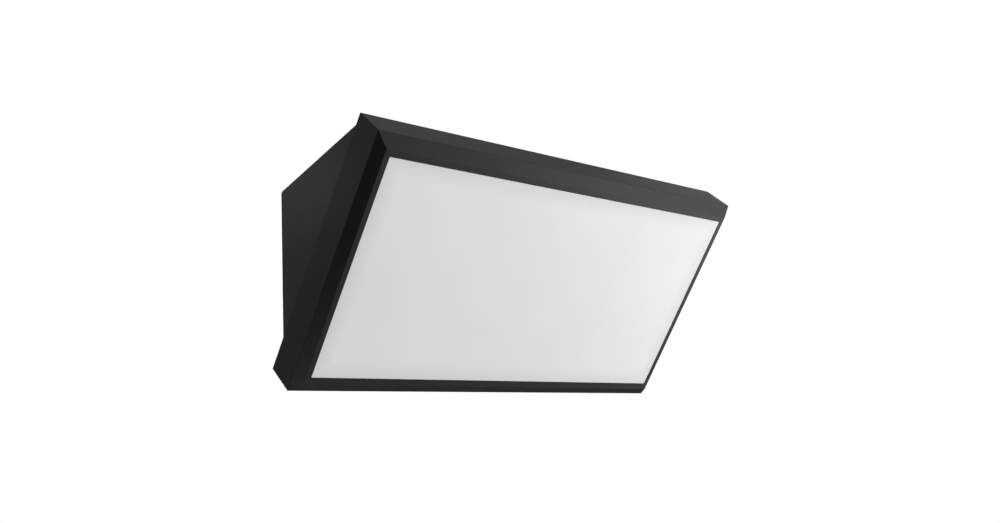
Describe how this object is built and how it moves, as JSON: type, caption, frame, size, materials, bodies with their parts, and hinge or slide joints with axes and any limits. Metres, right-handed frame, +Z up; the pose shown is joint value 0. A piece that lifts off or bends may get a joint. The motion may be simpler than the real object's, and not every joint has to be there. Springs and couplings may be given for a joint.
{
  "type": "outdoor wall light",
  "caption": "Wedge-shaped outdoor wall light: slanted opal light panel in a black bevelled frame on a black housing, clamped to a slotted steel wall bracket.",
  "frame": {"origin": "on the wall plane, midway between the two wall screw slots of the bracket", "axes": "+X along the wall to the right as seen from the front, +Y into the wall, +Z up"},
  "size_m": [0.24, 0.1089, 0.1088],
  "materials": {
    "black_polycarbonate": "fine satin texture",
    "opal_polycarbonate": "satin opal",
    "galvanised_steel": "zinc plated sheet",
    "stainless_steel": "stainless fasteners",
    "zinc_screws": "zinc plated screws",
    "epdm_foam": "closed-cell foam",
    "silicone": "translucent grey silicone",
    "black_rubber": "moulded rubber",
    "white_aluminium": "white coated sheet",
    "solder_resist": "white solder resist on metal core",
    "led_phosphor": "phosphor in white package",
    "white_nylon": "natural nylon",
    "driver_plastic": "white moulded case",
    "circuit_laminate": "green laminate",
    "component_plastic": "moulded components",
    "red_insulation": "lead insulation",
    "black_insulation": "lead insulation",
    "brown_insulation": "lead insulation",
    "blue_insulation": "lead insulation"
  },
  "bodies": {
    "bracket": {"wall_bracket": "galvanised_steel"},
    "luminaire": {"rear_housing": "black_polycarbonate", "wall_seal": "epdm_foam", "lock_screws": "stainless_steel", "lock_nuts": "stainless_steel", "front_frame": "black_polycarbonate", "flange_gasket": "silicone", "diffuser": "opal_polycarbonate", "diffuser_seal": "silicone", "led_tray": "white_aluminium", "tray_screws": "zinc_screws", "led_board": "solder_resist", "leds": "led_phosphor", "board_screws": "zinc_screws", "led_connector": "white_nylon", "led_lead_positive": "red_insulation", "led_lead_negative": "black_insulation", "tray_grommet": "black_rubber", "driver_case": "driver_plastic", "driver_cover": "driver_plastic", "driver_circuit": "circuit_laminate", "driver_components": "component_plastic", "driver_screws": "zinc_screws", "terminal_block": "white_nylon", "terminal_screws": "zinc_screws", "terminal_fixing": "zinc_screws", "live_lead": "brown_insulation", "neutral_lead": "blue_insulation", "partition_grommet": "black_rubber", "cable_clamp": "white_nylon", "clamp_screws": "zinc_screws", "vent_plug": "component_plastic", "vent_nut": "component_plastic"}
  },
  "joints": [
    {"name": "pull_off", "type": "slide", "parent": "bracket", "child": "luminaire", "axis": [0, -1, 0], "range_m": [0, 0.06]}
  ]
}
